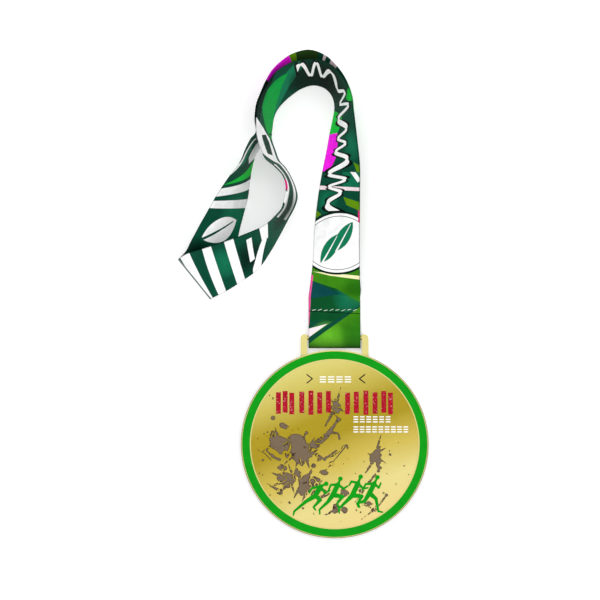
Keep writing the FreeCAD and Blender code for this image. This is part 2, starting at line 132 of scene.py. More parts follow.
view = {
    "elevation": 85.0,
    "distance": 1.0,
    "across": 0.2904,       # metres seen from left to right at the aim
    "aim": (-0.01665, 0.0695, 0.0),
    "sensor": 36.0,
    "clip": (0.01, 20),
}


def makeCamera():
    data = bpy.data.cameras.new("camera")
    data.sensor_width = view["sensor"]
    data.lens = view["sensor"] * view["distance"] / view["across"]
    data.clip_start, data.clip_end = view["clip"]
    camera = bpy.data.objects.new("camera", data)
    bpy.context.scene.collection.objects.link(camera)
    tilt = math.radians(90 - view["elevation"])
    away = Vector((0, -math.sin(tilt), math.cos(tilt)))
    camera.location = Vector(view["aim"]) + away * view["distance"]
    camera.rotation_euler = (tilt, 0, 0)
    bpy.context.scene.camera = camera


studio = {
    "floor": "#E6E6E6",
    "floorGlow": 0.3,       # a lit table, so that shadows stay pale
    "floorSize": 14,
    "floorDrop": 0.0003,    # just below the medal's back
    "lights": [
        # name, place, aim, size, power
        ("keyLight", (-0.45, 0.65, 1.15), (0, 0.05, 0), 0.85, 4.0),
        ("fillLight", (0.8, -0.3, 0.9), (0, 0.05, 0), 0.9, 4.4),
        ("topLight", (0.0, 0.1, 1.6), (0, 0.05, 0), 1.2, 5.4),
    ],
    "world": 0.62,
    "exposure": 0.08,
}


def makeStudio():
    deselectAll()
    bpy.ops.mesh.primitive_plane_add(size=studio["floorSize"], location=(0, 0, -studio["floorDrop"]))
    floor = bpy.context.active_object
    floor.name = "floor"
    material, _, shader = newMaterial("paleFloor")
    shader.inputs["Base Color"].default_value = hexColour(studio["floor"])
    shader.inputs["Roughness"].default_value = 0.9
    shader.inputs["Specular IOR Level"].default_value = 0.1
    shader.inputs["Emission Color"].default_value = (1, 1, 1, 1)
    shader.inputs["Emission Strength"].default_value = studio["floorGlow"]
    floor.data.materials.append(material)
    for name, place, aim, size, power in studio["lights"]:
        data = bpy.data.lights.new(name, "AREA")
        data.size = size
        data.energy = power
        lamp = bpy.data.objects.new(name, data)
        bpy.context.scene.collection.objects.link(lamp)
        lamp.location = place
        lamp.rotation_euler = (Vector(aim) - Vector(place)).to_track_quat("-Z", "Y").to_euler()
    world = bpy.data.worlds.new("studio")
    world.use_nodes = True
    background = world.node_tree.nodes["Background"]
    background.inputs["Color"].default_value = (1, 1, 1, 1)
    background.inputs["Strength"].default_value = studio["world"]
    scene = bpy.context.scene
    scene.world = world
    scene.view_settings.view_transform = "Standard"
    scene.view_settings.exposure = studio["exposure"]


makeCamera()
makeStudio()
print("studio and camera ready")


# ribbon: one strap, from the end that is turned back round the bar to the end that
# is tucked into the seam. A station is the place of the edge that stays on the table,
# in mm from the ribbon's left edge at the bar, then the direction across the ribbon seen
# from above and how far it leans up, both in degrees.

ribbon = {
    "visibleThickness": 0.30,   # mm, a hair under the ply so that plies stay apart
    "columns": 16,
    "rowPitch": 0.9,            # mm, as are the sizes and the places up the ribbon below
    "loopDrop": 5.05,
    "barGap": 0.3,
    "barRadius": 1.1,
    "bendSteps": 8,
    "underBar": [12.0, 7.0, 2.0],
    "overBar": [(1.3, 0.0), (4.0, 0.45), (8.0, 1.5)],   # place, and how far the front ply has come down
    "seam": 13.0,
    "turnBack": 17.0,
    "tuckedEnd": 9.5,
    "foldGap": 0.4,
    "foldSteps": 6,
    "band": [
        (0.0, 20.0, 0, 0), (1.0, 27.0, -3, 18), (2.2, 37.0, -3, 27), (3.0, 52.5, -2, 31),
        (5.0, 70.0, -3, 39), (7.0, 81.5, -2, 46), (9.2, 92.3, -2, 56), (10.5, 99.7, -1, 62),
        (12.0, 106.6, 0, 68),
    ],
    "archFront": [
        (12.9, 112.5, 12, 72), (12.2, 117.0, 44, 74), (10.0, 120.7, 70, 73), (6.6, 123.0, 87, 71),
        (1.8, 123.8, 100, 71), (-3.8, 122.0, 110, 68), (-8.2, 119.0, 114, 66),
        (-11.5, 116.2, 117, 66), (-14.4, 113.0, 124, 69), (-16.2, 110.0, 140, 71),
        (-17.2, 107.0, 160, 72), (-17.8, 102.6, 180, 73), (-18.2, 97.5, 193, 74),
    ],
    "archBack": [
        (12.9, 112.5, 12, 72), (12.2, 117.0, 44, 73), (10.0, 120.7, 70, 70), (6.6, 123.0, 86, 64),
        (1.8, 123.8, 98, 59), (-3.8, 122.0, 109, 58), (-8.2, 119.0, 114, 59),
        (-11.5, 116.2, 118, 61), (-14.4, 113.0, 126, 66), (-16.2, 110.0, 141, 70),
        (-17.2, 107.0, 160, 71), (-17.8, 102.6, 180, 72), (-18.2, 97.5, 190, 74),
    ],
    "rightBranch": [
        (-16.3, 91.4, 208, 73), (-14.4, 86.4, 204, 74), (-11.4, 83.0, 207, 76),
        (-8.5, 78.1, 210, 79), (-6.2, 72.4, 202, 78), (-5.6, 68.3, 210, 73),
        (-6.8, 64.0, 212, 73), (-10.0, 57.8, 192, 76), (-14.0, 50.2, 148, 76),
    ],
    "lowerStrip": [
        (-18.7, 41.9, 122, 66), (-24.5, 33.6, 121, 50), (-31.0, 28.6, 121, 41),
        (-40.0, 22.8, 122, 26), (-47.2, 19.0, 129, 0),
    ],
    "leftBranch": [
        (-22.3, 94.0, 190, 78), (-25.8, 88.3, 188, 80), (-27.5, 82.0, 176, 79),
        (-28.5, 75.1, 162, 72), (-29.5, 67.8, 160, 63), (-31.4, 60.4, 160, 56),
        (-34.0, 49.7, 157, 47), (-35.0, 39.0, 157, 28), (-40.0, 26.4, 141, 10),
        (-47.2, 19.0, 129, 0),
    ],
}


def acrossDirection(heading, lean):
    flat = math.cos(math.radians(lean))
    turn = math.radians(heading)
    return Vector((math.cos(turn) * flat, math.sin(turn) * flat, math.sin(math.radians(lean))))


def layerEdges(stations, lift, offset, lastLift=None):
    # both edges of a layer's middle surface, offset from the route's surface
    places = []
    middles = []
    for dx, dy, heading, lean in stations:
        edge = Vector((-ribbonWidth / 2 + dx * mm, barPlace.y + dy * mm, lift))
        places.append(edge)
        middles.append(edge + acrossDirection(heading, lean) * ribbonWidth / 2)
    if lastLift is not None:
        places[-1].z = lastLift
    edges = []
    last = len(stations) - 1
    for i, (edge, station) in enumerate(zip(places, stations)):
        over = acrossDirection(station[2], station[3])
        along = middles[min(i + 1, last)] - middles[max(i - 1, 0)]
        if i in (0, last):
            along.z = 0
        normal = over.cross(along).normalized()
        start = edge + normal * offset
        edges.append((start, start + over * ribbonWidth))
    return edges


def levelEdges(path):
    left = -ribbonWidth / 2
    return [(Vector((left, y, z)), Vector((-left, y, z))) for y, z in path]


def lugEdges():
    # turned-back ply, bend round the bar and front ply, seen from the side
    t = plyThickness
    radius = (ribbon["barRadius"] + ribbon["barGap"]) * mm + t / 2
    centreY = barPlace.y - ribbon["loopDrop"] * mm + radius + t / 2
    path = [(barPlace.y + place * mm, t / 2) for place in [ribbon["turnBack"]] + ribbon["underBar"]]
    for i in range(ribbon["bendSteps"] + 1):
        angle = math.radians(-90 - 180 * i / ribbon["bendSteps"])
        path.append((centreY + radius * math.cos(angle), barPlace.z + radius * math.sin(angle)))
    high = barPlace.z + radius
    path += [(barPlace.y + place * mm, high - drop * mm) for place, drop in ribbon["overBar"]]
    path += [
        (barPlace.y + (ribbon["seam"] - 1.0) * mm, 2.55 * t),
        (barPlace.y + ribbon["seam"] * mm, 2.5 * t),
        (barPlace.y + (ribbon["turnBack"] + 0.3) * mm, 2.5 * t),
    ]
    return levelEdges(path)


def tuckedEdges():
    places = (ribbon["turnBack"] + 0.6, ribbon["seam"], ribbon["tuckedEnd"])
    return levelEdges([(barPlace.y + place * mm, 1.5 * plyThickness) for place in places])


def foldEdges():
    # the half turn at the neck end, from the strip on top to the branch below
    dx, dy, heading, _ = ribbon["leftBranch"][-1]
    over = acrossDirection(heading, 0)
    outward = Vector((-over.y, over.x, 0))
    radius = (ribbon["foldGap"] * mm + plyThickness) / 2
    start = Vector((-ribbonWidth / 2 + dx * mm, barPlace.y + dy * mm, radius + plyThickness / 2))
    edges = []
    for i in range(1, ribbon["foldSteps"]):
        angle = math.pi * (0.5 - i / ribbon["foldSteps"])
        place = start + outward * radius * math.cos(angle) + Vector((0, 0, radius * math.sin(angle)))
        edges.append((place, place + over * ribbonWidth))
    return edges


def smoothed(points, steps):
    # Catmull-Rom through the points, spaced by their distances
    knots = [0.0]
    for a, b in zip(points, points[1:]):
        knots.append(knots[-1] + max((b - a).length, 1e-6) ** 0.5)
    first = points[0] * 2 - points[1]
    final = points[-1] * 2 - points[-2]
    full = [first] + points + [final]
    times = [knots[0] * 2 - knots[1]] + knots + [knots[-1] * 2 - knots[-2]]
    out = []
    for i, count in enumerate(steps):
        p = full[i:i + 4]
        t = times[i:i + 4]
        for k in range(count):
            x = t[1] + (t[2] - t[1]) * k / count
            a1 = p[0] * ((t[1] - x) / (t[1] - t[0])) + p[1] * ((x - t[0]) / (t[1] - t[0]))
            a2 = p[1] * ((t[2] - x) / (t[2] - t[1])) + p[2] * ((x - t[1]) / (t[2] - t[1]))
            a3 = p[2] * ((t[3] - x) / (t[3] - t[2])) + p[3] * ((x - t[2]) / (t[3] - t[2]))
            b1 = a1 * ((t[2] - x) / (t[2] - t[0])) + a2 * ((x - t[0]) / (t[2] - t[0]))
            b2 = a2 * ((t[3] - x) / (t[3] - t[1])) + a3 * ((x - t[1]) / (t[3] - t[1]))
            out.append(b1 * ((t[2] - x) / (t[2] - t[1])) + b2 * ((x - t[1]) / (t[2] - t[1])))
    out.append(points[-1].copy())
    return out


def ribbonRows():
    t = plyThickness
    half = t / 2
    front = layerEdges(
        ribbon["band"] + ribbon["archFront"] + ribbon["rightBranch"] + ribbon["lowerStrip"],
        t, half, t + ribbon["foldGap"] * mm)
    back = layerEdges(ribbon["band"] + ribbon["archBack"] + ribbon["leftBranch"], t, -half)
    edges = lugEdges() + front + foldEdges() + back[::-1] + tuckedEdges()
    middles = [(a + b) / 2 for a, b in edges]
    steps = []
    for a, b in zip(middles, middles[1:]):
        steps.append(max(1, round((b - a).length / (ribbon["rowPitch"] * mm))))
    lows = smoothed([a for a, b in edges], steps)
    highs = smoothed([b for a, b in edges], steps)
    return list(zip(lows, highs))


def makeRibbon():
    rows = ribbonRows()
    columns = ribbon["columns"]
    deselectAll()
    bpy.ops.mesh.primitive_grid_add(x_subdivisions=columns, y_subdivisions=len(rows) - 1, size=1)
    strap = bpy.context.active_object
    strap.name = "neckRibbon"
    along = [0.0]
    for (a, b), (c, d) in zip(rows, rows[1:]):
        along.append(along[-1] + ((c + d) / 2 - (a + b) / 2).length)
    # distances are counted from the bottom of the loop round the bar
    lowest = min(range(len(rows) // 4), key=lambda i: rows[i][0].y)
    zero = along[lowest]
    places = strap.data.attributes.new("cloth", "FLOAT_VECTOR", "POINT")
    for vertex in strap.data.vertices:
        row = round((vertex.co.y + 0.5) * (len(rows) - 1))
        share = vertex.co.x + 0.5
        low, high = rows[row]
        over = (high - low).normalized() * ribbonWidth
        vertex.co = low + over * share
        places.data[vertex.index].vector = (share * ribbonWidth / mm, (along[row] - zero) / mm, 0)
    print("ribbon length", round(along[-1], 4), "zero", round(zero, 4))
    return strap, along[-1]


strap, strapLength = makeRibbon()


# ribbon print. Every shape is in millimetres: across the ribbon from the edge that
# stays on the table, and along it from the bottom of the loop.

ribbonPrint = {
    "soft": 0.14,          # width over which two printed colours meet
    "before": -900,        # ahead of the ribbon's first end
    # the ribbon is printed in stretches, each a material, that end at these places
    "spans": [22, 42, 72, 96, 130, 165, 200, 236, 262, 286, 320, 366, 900],
    "ground": "deep",
    "colours": {
        "deep": "#0A4A36", "forest": "#084D26", "dark": "#083527", "darkest": "#04241A", "black": "#03120E",
        "teal": "#137050", "blueGreen": "#0A4648", "leaf": "#3D8514", "leafDark": "#2A7413",
        "leafBright": "#62B228", "olive": "#5F8F10", "moss": "#27441A", "emerald": "#14C63E",
        "jade": "#0FA042", "magenta": "#FF1EF0", "pink": "#F0208C", "rose": "#E8559C",
        "white": "#FFFFFF", "blush": "#FBE6EA", "cream": "#FBF4BE", "mark": "#147A54", "foldShade": "#6E7A75",
    },
    "shapes": [
        # from the loop to the seam
        ("area", "forest", [(-1, 14), (26, 14), (26, 30), (-1, 32)]),
        ("glow", "teal", (20, 26, 9)),
        ("area", "leaf", [(-1, -30), (26, -30), (26, 22.0), (-1, 2.0)]),
        ("glow", "leafBright", (9, 4.5, 10)),
        ("glow", "leafDark", (24, 8, 10)),
        ("area", "deep", [(-1, 2.0), (26, 22.0), (26, 22.6), (10, 12.6), (-1, 5.0)]),
        ("area", "blush", [(-1, 9.8), (9.1, 12.6), (-1, 5.0)]),
        ("area", "blueGreen", [(-1, 34.9), (15.8, 27.7), (-1, 24.7)]),
        ("area", "leaf", [(-1, 35), (13.2, 30.5), (13.2, 46), (-1, 46)]),
        ("area", "leaf", [(12.8, 30.7), (26, 22.6), (26, 46), (12.8, 46)]),
        ("glow", "leafDark", (24, 31, 9)),
        ("area", "cream", [(0.5, 38.9), (10, 37.0), (26, 35.4), (26, 37.2)]),
        ("area", "rose", [(-1, 10), (0.3, 12), (1.0, 24), (1.0, 37), (-1, 38)]),
        # painted shade: a thin black line across the ribbon along the seam crease
        ("area", "black", [(-1, 18.9), (26, 17.5), (26, 17.85), (-1, 19.25)]),
        # painted shade: black, strongest at the bottom of the loop where the ribbon turns round the bar, gone 9
        # mm up
        ("shadeFade", "black", (0.5, 9.0)),
        # roundel with two plain leaves
        ("oval", "darkest", (13, 52.9, 20.4, 15.3)),
        ("oval", "white", (13, 52.9, 19.2, 14.3)),
        ("oval", "dark", (13, 52.9, 17.8, 13.05)),
        ("oval", "white", (13, 52.9, 17.45, 12.75)),
        ("leaf", "mark", (16.3, 45.2, 1.9, 55.4, 12.3)),
        ("leaf", "mark", (23.6, 50.6, 9.2, 60.8, 12.3)),
        ("area", "white", [(4.6, 43.4), (5.4, 42.9), (13.0, 56.2), (12.8, 56.4)]),
        ("area", "white", [(11.9, 48.8), (12.7, 48.3), (20.3, 61.6), (20.1, 61.8)]),
        ("area", "pink", [(24.3, 62.5), (26, 62.5), (26, 70), (24.3, 69)]),
        # band above it
        ("area", "olive", [(-1, 64.6), (3.2, 67.0), (-1, 70)]),
        ("glow", "teal", (6, 74, 7)),
        ("area", "olive", [(15.5, 75), (26, 71.8), (26, 67.6), (17.5, 71)]),
        ("area", "teal", [(15, 79.5), (26, 78.6), (26, 86), (14, 87)]),
        ("area", "blush", [(-1, 81.4), (26, 78.9), (26, 77.3), (-1, 79.4)]),
        ("area", "white", [(19, 86.7), (22.6, 86.3), (26, 82.4), (24, 81.4)]),
        ("area", "olive", [(21.2, 91.2), (26, 88.8), (26, 86), (23.2, 86.4)]),
        ("glow", "teal", (21, 99, 8)),
        ("area", "magenta", [(-1, 88.3), (3.5, 88.4), (6.7, 91.2), (9, 95.9), (8.9, 101), (8.0, 106.7),
                             (-1, 106.9)]),
        ("area", "emerald", [(-1, 106.9), (8.0, 106.6), (10.4, 109.6), (12.0, 113.2), (6, 117), (-1, 119.5)]),
        ("area", "emerald", [(17.5, 121.6), (21, 119.2), (26, 119), (26, 124), (22, 123.8)]),
        # arch
        # painted shade: a black soft patch over the crown of the arch
        ("glow", "black", (9, 138, 22)),
        ("area", "mark", [(24.5, 149), (20, 147), (12, 152), (4, 161), (-1, 170), (-1, 182), (18.5, 157)]),
        # painted shade: a darkest soft patch over the crown, the green mark included
        ("glow", "darkest", (8, 147, 11)),
        ("area", "jade", [(18.3, 155), (21.6, 167.7), (18.5, 175), (11, 182.5), (0, 188.5), (-1, 180), (3, 169),
                          (8, 163.5), (14.6, 158)]),
        ("area", "darkest", [(22.6, 164), (26, 160), (26, 184), (20.5, 184), (19.5, 176)]),
        ("squiggle", "black", (67.5, 151.5, 1.75)),
        ("squiggle", "white", (68.5, 150.5, 0.95)),
        # past the parting of the two layers
        ("area", "white", [(26, 180), (26, 196), (13, 200.5), (4, 203), (3, 192), (4, 187.5), (14, 183.4)]),
        ("area", "dark", [(17, 187), (9.5, 186.2), (6.4, 190), (8.5, 197), (16.5, 196.2)]),
        ("area", "white", [(3.2, 201), (8.2, 201), (8.8, 232), (4, 232)]),
        ("area", "white", [(17.8, 203), (21.8, 203), (22, 232), (18.2, 232)]),
        ("area", "pink", [(21, 212.5), (26, 212.5), (26, 217.5), (21, 217)]),
        ("area", "white", [(20.5, 218.5), (26, 217.5), (26, 222.5), (21, 223.5)]),
        ("glow", "darkest", (12, 228, 12)),
        # strip below, with slanted bars
        ("glow", "darkest", (10, 256, 11)),
        ("glow", "teal", (14, 268, 9)),
        ("area", "white", [(26, 238.5), (26, 244.6), (13, 246.6), (12, 243)]),
        ("area", "white", [(13.5, 242.8), (14, 246.6), (2.5, 257), (-1, 258.5), (-1, 253.5)]),
        ("area", "white", [(21, 250.2), (21, 253.0), (7, 256.6), (7, 253.8)]),
        ("area", "white", [(26, 258), (26, 262.6), (-1, 267.8), (-1, 263.1)]),
        ("area", "white", [(26, 269.0), (26, 273.4), (-1, 280.0), (-1, 274.6)]),
        ("area", "white", [(26, 279.4), (26, 284.4), (-1, 288.2), (-1, 284.4)]),
        # painted shade: a grey band along the fold's edge
        ("area", "foldShade", [(-1, 285.25), (26, 285.25), (26, 287.0), (-1, 287.0)]),
        # branch that lies under it, from the fold up
        ("glow", "teal", (4, 326, 14)),
        ("glow", "darkest", (20, 298, 10)),
        ("leaf", "white", (18.85, 321.4, 6.15, 307.9, 14.8)),
        ("area", "deep", [(20.4, 305.8), (21.4, 306.8), (6.4, 321.4), (6.0, 321.0)]),
        ("area", "white", [(26, 321.2), (26, 325.2), (-1, 334.8), (-1, 330.2)]),
        ("area", "white", [(26, 327.4), (26, 331.8), (-1, 344.4), (-1, 339.6)]),
        ("area", "emerald", [(25.5, 334), (-1, 346.2), (-1, 353.5)]),
        ("area", "white", [(-1, 353.9), (9, 349.5), (13, 352), (10.5, 362), (8, 374), (-1, 376)]),
        ("area", "white", [(26, 338), (23.2, 343.6), (17.6, 362), (19.4, 362.4), (26, 344)]),
        ("area", "teal", [(22.4, 345), (16.4, 349.6), (14.6, 357), (17.4, 360)]),
        # far side of the double band
        ("area", "darkest", [(-1, 364), (26, 364), (26, 388), (-1, 388)]),
        ("area", "magenta", [(14, 388), (26, 387), (26, 401.4), (14, 402)]),
        ("area", "olive", [(14, 402), (26, 401.4), (26, 404.6), (14, 404)]),
        ("area", "moss", [(-1, 405), (26, 404.6), (26, 414), (-1, 413)]),
        ("area", "blush", [(14, 415), (26, 416.3), (26, 417.5), (14, 416)]),
        ("area", "blush", [(14, 418.5), (26, 419.6), (26, 423), (14, 421.5)]),
        ("area", "jade", [(-1, 436), (26, 430), (26, 442), (-1, 450)]),
        ("area", "leaf", [(-1, 470), (26, 486), (26, 502), (-1, 482)]),
        ("area", "white", [(-1, 520), (26, 512), (26, 516), (-1, 524)]),
        ("area", "rose", [(-1, 506), (0.7, 506), (0.7, 534), (-1, 534)]),
    ],
}

squiggle = {
    "middle": 9.6,         # place across the ribbon at "from", drifting along it
    "from": 70.0,
    "drift": 0.085,
    "reach": 4.3,
    "pitch": 8.2,
    "wander": 0.31,        # uneven pitch
    "swell": 1.3,          # uneven reach
    "swellRate": 0.23,
}

satin = {
    "threadsPerMm": 4.6,
    "picksPerMm": 3.1,
    "selvedge": 0.8,       # mm
    "roughness": 0.5,
    "specular": 0.025,
}


def shapeSpan(kind, data):
    if kind == "area":
        return min(p[1] for p in data), max(p[1] for p in data)
    if kind == "glow":
        return data[1] - data[2], data[1] + data[2]
    if kind == "oval":
        return data[1] - data[3], data[1] + data[3]
    if kind == "shadeFade":
        return ribbonPrint["before"], data[1]
    if kind == "leaf":
        gap = math.hypot(data[0] - data[2], data[1] - data[3])
        reach = math.sqrt(data[4] ** 2 - gap ** 2 / 4)
        return (data[1] + data[3]) / 2 - reach, (data[1] + data[3]) / 2 + reach
    return data[0], data[1]


def distanceTo(tree, place, u, s, stretch=1.0):
    away = tree.nodes.new("ShaderNodeVectorMath")
    away.operation = "SUBTRACT"
    feed(tree, away.inputs[0], place)
    away.inputs[1].default_value = (u, s, 0)
    scaled = tree.nodes.new("ShaderNodeVectorMath")
    scaled.operation = "MULTIPLY"
    tree.links.new(away.outputs[0], scaled.inputs[0])
    scaled.inputs[1].default_value = (stretch, 1, 0)
    length = tree.nodes.new("ShaderNodeVectorMath")
    length.operation = "LENGTH"
    tree.links.new(scaled.outputs[0], length.inputs[0])
    return length.outputs["Value"]


def areaInside(tree, across, along, corners):
    twice = sum(a[0] * b[1] - b[0] * a[1] for a, b in zip(corners, corners[1:] + corners[:1]))
    turn = 1 if twice > 0 else -1
    inside = None
    for a, b in zip(corners, corners[1:] + corners[:1]):
        length = math.hypot(b[0] - a[0], b[1] - a[1])
        nx = -turn * (b[1] - a[1]) / length
        ny = turn * (b[0] - a[0]) / length
        side = calc(tree, "MULTIPLY_ADD", across, nx, -(nx * a[0] + ny * a[1]))
        side = calc(tree, "MULTIPLY_ADD", along, ny, side)
        inside = side if inside is None else calc(tree, "MINIMUM", inside, side)
    return inside


def squiggleInside(tree, across, along, start, end, halfWidth):
    # a hand-drawn looking wave whose swings grow and shrink along the band
    q = squiggle
    phase = calc(tree, "MULTIPLY", along, 2 * math.pi / q["pitch"])
    wander = calc(tree, "SINE", calc(tree, "MULTIPLY", along, q["wander"]))
    phase = calc(tree, "ADD", phase, wander)
    swell = calc(tree, "SINE", calc(tree, "MULTIPLY", along, q["swellRate"]))
    reach = calc(tree, "MULTIPLY_ADD", swell, q["swell"], q["reach"])
    middle = calc(tree, "MULTIPLY_ADD", along, q["drift"], q["middle"] - q["from"] * q["drift"])
    curve = calc(tree, "MULTIPLY_ADD", calc(tree, "SINE", phase), reach, middle)
    slope = calc(tree, "ABSOLUTE", calc(tree, "COSINE", phase))
    slope = calc(tree, "MULTIPLY", slope, calc(tree, "MULTIPLY", reach, 2 * math.pi / q["pitch"]))
    stretch = calc(tree, "SQRT", calc(tree, "MULTIPLY_ADD", slope, slope, 1.0))
    off = calc(tree, "ABSOLUTE", calc(tree, "SUBTRACT", across, curve))
    inside = calc(tree, "SUBTRACT", halfWidth, calc(tree, "DIVIDE", off, stretch))
    inside = calc(tree, "MINIMUM", inside, calc(tree, "SUBTRACT", along, start))
    return calc(tree, "MINIMUM", inside, calc(tree, "SUBTRACT", end, along))


def shapeMask(tree, place, across, along, kind, data):
    if kind == "glow":
        u, s, radius = data
        reach = calc(tree, "DIVIDE", distanceTo(tree, place, u, s), radius)
        fall = calc(tree, "SUBTRACT", 1.0, reach, clamp=True)
        return calc(tree, "MULTIPLY", fall, calc(tree, "SUBTRACT", 2.0, fall))
    if kind == "shadeFade":
        fall = mapRange(tree, along, data[0], data[1], 0.9, 0.0)
        return calc(tree, "MULTIPLY", fall, fall)
    if kind == "oval":
        u, s, ru, rs = data
        inside = calc(tree, "SUBTRACT", rs, distanceTo(tree, place, u, s, rs / ru))
    elif kind == "leaf":
        u1, s1, u2, s2, radius = data
        far = calc(tree, "MAXIMUM", distanceTo(tree, place, u1, s1), distanceTo(tree, place, u2, s2))
        inside = calc(tree, "SUBTRACT", radius, far)
    elif kind == "squiggle":
        inside = squiggleInside(tree, across, along, *data)
    else:
        inside = areaInside(tree, across, along, data)
    return calc(tree, "MULTIPLY_ADD", inside, 1 / ribbonPrint["soft"], 0.5, clamp=True)


def makePrint(number, low, high):
    material, tree, shader = newMaterial("satinPrint%02d" % number)
    attribute = tree.nodes.new("ShaderNodeAttribute")
    attribute.attribute_name = "cloth"
    place = attribute.outputs["Vector"]
    split = tree.nodes.new("ShaderNodeSeparateXYZ")
    tree.links.new(place, split.inputs[0])
    across = split.outputs[0]
    along = split.outputs[1]
    dyes = ribbonPrint["colours"]
    colour = hexColour(dyes[ribbonPrint["ground"]])
    for kind, name, data in ribbonPrint["shapes"]:
        first, last = shapeSpan(kind, data)
        if last < low - 1 or first > high + 1:
            continue
        mask = shapeMask(tree, place, across, along, kind, data)
        colour = mixColour(tree, mask, colour, hexColour(dyes[name]))
    # uneven dye, a printed grain of single threads and painted shade along both edges
    cloud = mapRange(tree, noiseTexture(tree, place, 0.22, 3.0), 0.3, 0.7, 0.9, 1.08)
    threads = tree.nodes.new("ShaderNodeVectorMath")
    threads.operation = "MULTIPLY"
    tree.links.new(place, threads.inputs[0])
    threads.inputs[1].default_value = (satin["threadsPerMm"], 0.12, 0)
    grain = mapRange(tree, noiseTexture(tree, threads.outputs[0], 1.0, 2.0), 0.25, 0.75, 0.93, 1.06)
    edge = calc(tree, "MINIMUM", across, calc(tree, "SUBTRACT", ribbonWidth / mm, across))
    # painted shade: the colour falls to 0.55 within 0.56 mm of both edges of the ribbon
    paintedEdgeShade = mapRange(tree, edge, 0.0, satin["selvedge"] * 0.7, 0.55, 1.0)
    shade = calc(tree, "MULTIPLY", calc(tree, "MULTIPLY", cloud, grain), paintedEdgeShade)
    dyed = tree.nodes.new("ShaderNodeVectorMath")
    dyed.operation = "SCALE"
    feed(tree, dyed.inputs[0], colour)
    feed(tree, dyed.inputs["Scale"], shade)
    tree.links.new(dyed.outputs[0], shader.inputs["Base Color"])
    # satin: long warp floats crossed by fine weft ridges, plain ribs at the woven edges
    warp = calc(tree, "SINE", calc(tree, "MULTIPLY", across, 2 * math.pi * satin["threadsPerMm"]))
    weft = calc(tree, "SINE", calc(tree, "MULTIPLY", along, 2 * math.pi * satin["picksPerMm"]))
    inside = mapRange(tree, edge, satin["selvedge"] - 0.1, satin["selvedge"], 0.0, 1.0)
    weave = calc(tree, "MULTIPLY_ADD", weft, 0.5, warp)
    ribs = calc(tree, "MULTIPLY", weft, 1.6)
    height = calc(tree, "MULTIPLY_ADD", inside, calc(tree, "SUBTRACT", weave, ribs), ribs)
    bump(tree, shader, height, 0.3, 0.00003)
    rough = mapRange(tree, noiseTexture(tree, place, 0.6, 2.0), 0.3, 0.7, satin["roughness"] - 0.06,
                     satin["roughness"] + 0.08)
    tree.links.new(rough, shader.inputs["Roughness"])
    shader.inputs["Specular IOR Level"].default_value = satin["specular"]
    return material


def finishRibbon():
    low = ribbonPrint["before"]
    for number, high in enumerate(ribbonPrint["spans"], 1):
        strap.data.materials.append(makePrint(number, low, high))
        low = high
    places = strap.data.attributes["cloth"].data
    for face in strap.data.polygons:
        middle = sum(places[i].vector[1] for i in face.vertices) / len(face.vertices)
        face.material_index = next(k for k, high in enumerate(ribbonPrint["spans"]) if middle < high)
    deselectAll()
    strap.select_set(True)
    bpy.context.view_layer.objects.active = strap
    solidify = strap.modifiers.new("plies", "SOLIDIFY")
    solidify.thickness = ribbon["visibleThickness"] * mm
    solidify.offset = 0
    bpy.ops.object.modifier_apply(modifier=solidify.name)
    bpy.ops.object.shade_smooth_by_angle(angle=math.radians(40))
    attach(strap, "ribbon")
    ribbonNodes = [s for s in frame["record"]["behaviour"]["bodies"]["ribbon"] if s.startswith("ribbon")]
    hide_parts(*ribbonNodes)


finishRibbon()
print("ribbon ready")


# seam: one row of slanted lockstitches across the ribbon, seen on its face

seam = {
    "count": 8,
    "margin": 1.6,         # mm, from the ribbon's edge, as are the sizes below
    "length": 2.0,
    "thread": 0.17,        # radius
    "distance": 13.5,      # from the bar
    "slant": 0.35,
    "wander": 0.18,
    "rings": 8,            # cuts along a stitch
    "twist": 5.0,          # half turns of its strands
    "strand": 0.12,        # how far they stand out
    "slim": 0.35,          # how much thinner its ends are
    "tones": ("#A9C4AA", "#F2FAF0"),
}


def makeStitch(number, centre):
    # one stitch: a thread that comes up, lies over the ribbon and goes down again
    deselectAll()
    bpy.ops.mesh.primitive_cylinder_add(vertices=10, radius=seam["thread"] * mm, depth=seam["length"] * mm,
                                        rotation=(0, math.pi / 2, 0))
    piece = bpy.context.active_object
    bpy.ops.object.transform_apply(location=False, rotation=True, scale=False)
    bpy.ops.object.mode_set(mode="EDIT")
    for k in range(1, seam["rings"]):
        offset = (k / seam["rings"] - 0.5) * seam["length"] * mm
        bpy.ops.mesh.select_all(action="SELECT")
        bpy.ops.mesh.bisect(plane_co=(offset, 0, 0), plane_no=(1, 0, 0))
    bpy.ops.object.mode_set(mode="OBJECT")
    half = seam["length"] * mm / 2
    slant = seam["slant"] * mm * (1 if number % 2 else 0.6)
    for vertex in piece.data.vertices:
        share = vertex.co.x / half
        slim = 1 - seam["slim"] * share ** 4
        turn = share * math.pi * seam["twist"] / 2
        y = vertex.co.y * slim * (1 + seam["strand"] * math.cos(turn))
        z = vertex.co.z * slim * (1 + seam["strand"] * math.sin(turn))
        drop = seam["thread"] * mm * 1.5 * share ** 4
        vertex.co = (centre.x + vertex.co.x, centre.y + y + slant * share, centre.z + z - drop)
    return piece


